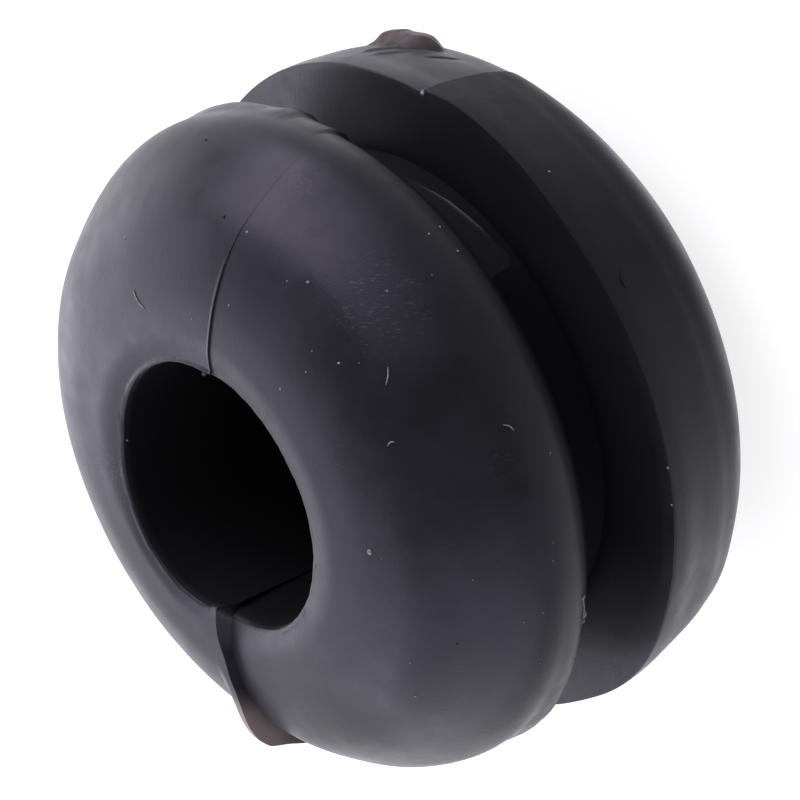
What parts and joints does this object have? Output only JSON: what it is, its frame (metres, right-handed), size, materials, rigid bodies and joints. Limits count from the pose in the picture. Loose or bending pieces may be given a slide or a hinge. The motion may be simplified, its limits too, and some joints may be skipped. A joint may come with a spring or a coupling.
{
  "type": "rubber grommet",
  "caption": "Black moulded rubber cable grommet with domed flanges either side of a panel groove and a plain through bore that guards a cable from the hole's sharp edge.",
  "frame": {"origin": "on the bore's axis, in the plane of the rear flange's crest that the grommet stands on", "axes": "+Z along the bore's axis from the rear flange to the front flange, +X through the upper parting line"},
  "size_m": [0.011, 0.011, 0.0076],
  "materials": {
    "rubber": "satin black moulded rubber with fine mould texture and dust"
  },
  "bodies": {
    "root": {"grommet": "rubber"}
  },
  "joints": []
}
